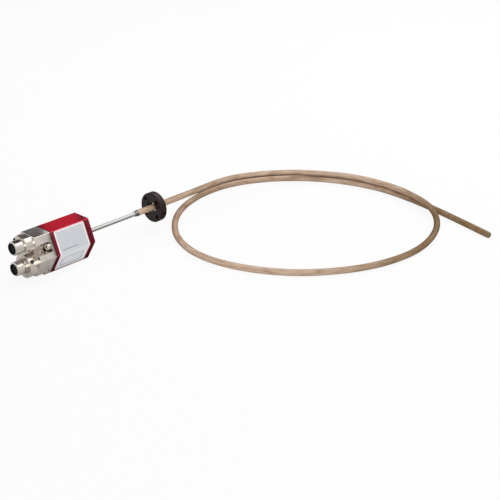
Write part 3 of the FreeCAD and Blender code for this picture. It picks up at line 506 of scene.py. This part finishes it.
# nameplate foil bent over the two near flanks: bare, with a pale border, one printed rule and an empty field
foil = dict(
    topHalf=10.75, top=21.0, kneeHalf=20.4, knee=-2.5, baseHalf=6.4, base=-24.7,  # the head's section
    backLap=1.2, topLap=1.2, baseLap=0.7,  # laminate past the edges of the CAD foil
    thickness=0.2, lift=0.02, corner=1.6, cornerSteps=5, fold=0.82, foldSteps=5, border=1.7, inkHeight=0.03,
    # where the rule and the field start and end along the rod, and their shares of the way down a flank
    ruleWidth=0.5, rule=(2.4, 22.9, 0.83), field=(4.0, 30.0, 0.3, 0.78))
proud = (foil["thickness"] + foil["lift"]) * mm  # the foil's face, off the flanks
alongRod = Vector((1, 0, 0))


def flankPoint(share, lower):  # a point of the section's upper or lower near flank, 0 at its top
    start = (foil["kneeHalf"], foil["knee"]) if lower else (foil["topHalf"], foil["top"])
    end = (foil["baseHalf"], foil["base"]) if lower else (foil["kneeHalf"], foil["knee"])
    across, up = (a + (b - a) * share for a, b in zip(start, end))
    return Vector((0, -across, up)) * mm


def flankEnd(level, lower):  # a flank's point at a height
    top, bottom = flankPoint(0, lower), flankPoint(1, lower)
    return flankPoint((level - top.z) / (bottom.z - top.z), lower)


def flankFrame(lower):  # directions down a flank and out of it
    down = (flankPoint(1, lower) - flankPoint(0, lower)).normalized()
    return down, alongRod.cross(down) * -1


def buildFoil(topEnd, baseEnd, back, front):  # a sheet bent over the knee, inset for its border
    upperOut, lowerOut = flankFrame(False)[1], flankFrame(True)[1]
    kneeOut = (upperOut + lowerOut) / (1 + upperOut.dot(lowerOut))
    places = [topEnd + upperOut * proud, flankPoint(1, False) + kneeOut * proud, baseEnd + lowerOut * proud]
    bm = bmesh.new()
    verts = [bm.verts.new(place + alongRod * back) for place in places]
    edges = [bm.edges.new(pair) for pair in zip(verts, verts[1:])]
    grown = bmesh.ops.extrude_edge_only(bm, edges=edges)
    moved = [item for item in grown["geom"] if isinstance(item, bmesh.types.BMVert)]
    bmesh.ops.translate(bm, verts=moved, vec=alongRod * (front - back))
    corners = [v for v in bm.verts if len(v.link_faces) == 1]
    bmesh.ops.bevel(bm, geom=corners, offset=foil["corner"] * mm, segments=foil["cornerSteps"], profile=0.5,
                    affect="VERTICES", material=-1)
    knee = [e for e in bm.edges if len(e.link_faces) == 2]
    bmesh.ops.bevel(bm, geom=knee, offset=foil["fold"] * mm, segments=foil["foldSteps"], profile=0.5,
                    affect="EDGES", material=-1)
    bmesh.ops.recalc_face_normals(bm, faces=bm.faces)
    rim = bmesh.ops.inset_region(bm, faces=bm.faces[:], thickness=foil["border"] * mm, use_boundary=True,
                                 use_even_offset=True)
    border = speckled("foil_border", "#FFF6F5", "#FBEDED", 0.4, 0.6, 0.004)
    # painted light: a paler copy of the foil on the lower flank, where less light falls, chosen to match the
    # photograph
    pale = speckled("painted_light_foil", "#F1F4F8", "#EAEEF2", 0.35, 0.6, 0.004)
    finishes = [finishOf["plain_foil"], border, pale]
    for face in bm.faces:
        face.material_index = finishes.index(pale if face.normal.z < 0 else finishOf["plain_foil"])
    for face in rim["faces"]:
        face.material_index = finishes.index(border)
    bmesh.ops.solidify(bm, geom=bm.faces[:], thickness=foil["thickness"] * mm)
    piece = newPiece("nameplate", bm, finishes, smooth=35)
    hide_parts("nameplate_foil")


def addStrip(bm, origin, down, out, along, across):  # a thin raised bar of ink
    size = Vector((along[1] - along[0], across[1] - across[0], foil["inkHeight"])) * mm
    centre = origin + alongRod * sum(along) / 2 * mm + down * sum(across) / 2 * mm
    turn = Matrix((alongRod, down, out)).transposed().to_4x4()
    place = Matrix.Translation(centre) @ turn @ Matrix.Diagonal((*size, 1))
    bmesh.ops.create_cube(bm, size=1, matrix=place)


def buildPrint(topEnd, baseEnd, back):
    bm = bmesh.new()
    wide = foil["ruleWidth"]
    down, out = flankFrame(False)
    start, end, share = foil["rule"]
    level = (flankPoint(1, False) - topEnd).length / mm * share
    addStrip(bm, topEnd + alongRod * back + out * proud, down, out, (start, end), (level, level + wide))
    knee = flankPoint(0, True)
    down, out = flankFrame(True)
    reach = (baseEnd - knee).length / mm
    start, end, upperShare, lowerShare = foil["field"]
    upper, lower = reach * upperShare, reach * lowerShare
    for along, across in (((start, end), (upper, upper + wide)),
                          ((start, end), (lower, lower + wide)),
                          ((start, start + wide), (upper + wide, lower)),
                          ((end - wide, end), (upper + wide, lower))):
        addStrip(bm, knee + alongRod * back + out * proud, down, out, along, across)
    # screen-printed grey ink
    ink = speckled("grey_ink", "#77767C", "#6B6A70", 0.5, 0.4, 0.002)
    newPiece("nameplate_print", bm, [ink])


def buildNameplate():
    low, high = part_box("nameplate_foil")
    topEnd = flankEnd(high.z + foil["topLap"] * mm, False)
    baseEnd = flankEnd(low.z - foil["baseLap"] * mm, True)
    buildFoil(topEnd, baseEnd, low.x - foil["backLap"] * mm, high.x)
    buildPrint(topEnd, baseEnd, low.x)
    print("nameplate laid")


buildNameplate()


# screw threads as raised ridges: inside the two round sockets and on the small supply port
threads = [dict(name=side + "_thread", node=side + "_socket_insert", radius=5.18, rise=-0.4, start=0.7,
                turns=7, slot="black_moulding") for side in ("upper", "lower")]
threads.append(dict(name="supply_thread", node="supply_port_insert", radius=3.67, rise=0.33, start=-3.5,
                    turns=3, slot="nickel_casting"))
threadPitch = 1.0
threadSteps = 36  # to a turn
ridgeHalf = 0.42 * threadPitch  # half of a ridge's width


def buildThread(thread):
    low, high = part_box(thread["node"])
    centre = Vector((0, (low.y + high.y) / 2, (low.z + high.z) / 2))
    start = low.x / mm + thread["start"]
    bm = bmesh.new()
    profile = ((start, thread["radius"]), (start + ridgeHalf, thread["radius"] + thread["rise"]),
               (start + 2 * ridgeHalf, thread["radius"]))
    corners = [bm.verts.new(centre + Vector((x, 0, r)) * mm) for x, r in profile]
    loop = [bm.edges.new(pair) for pair in zip(corners, corners[1:] + corners[:1])]
    bmesh.ops.spin(bm, geom=corners + loop, cent=centre, axis=(1, 0, 0), angle=2 * math.pi * thread["turns"],
                   steps=threadSteps * thread["turns"], dvec=(threadPitch / threadSteps * mm, 0, 0))
    bmesh.ops.holes_fill(bm, edges=[e for e in bm.edges if e.is_boundary], sides=len(profile))
    newPiece(thread["name"], bm, [finishOf[thread["slot"]]], smooth=35)


for thread in threads:
    buildThread(thread)
print("threads cut:", len(threads))
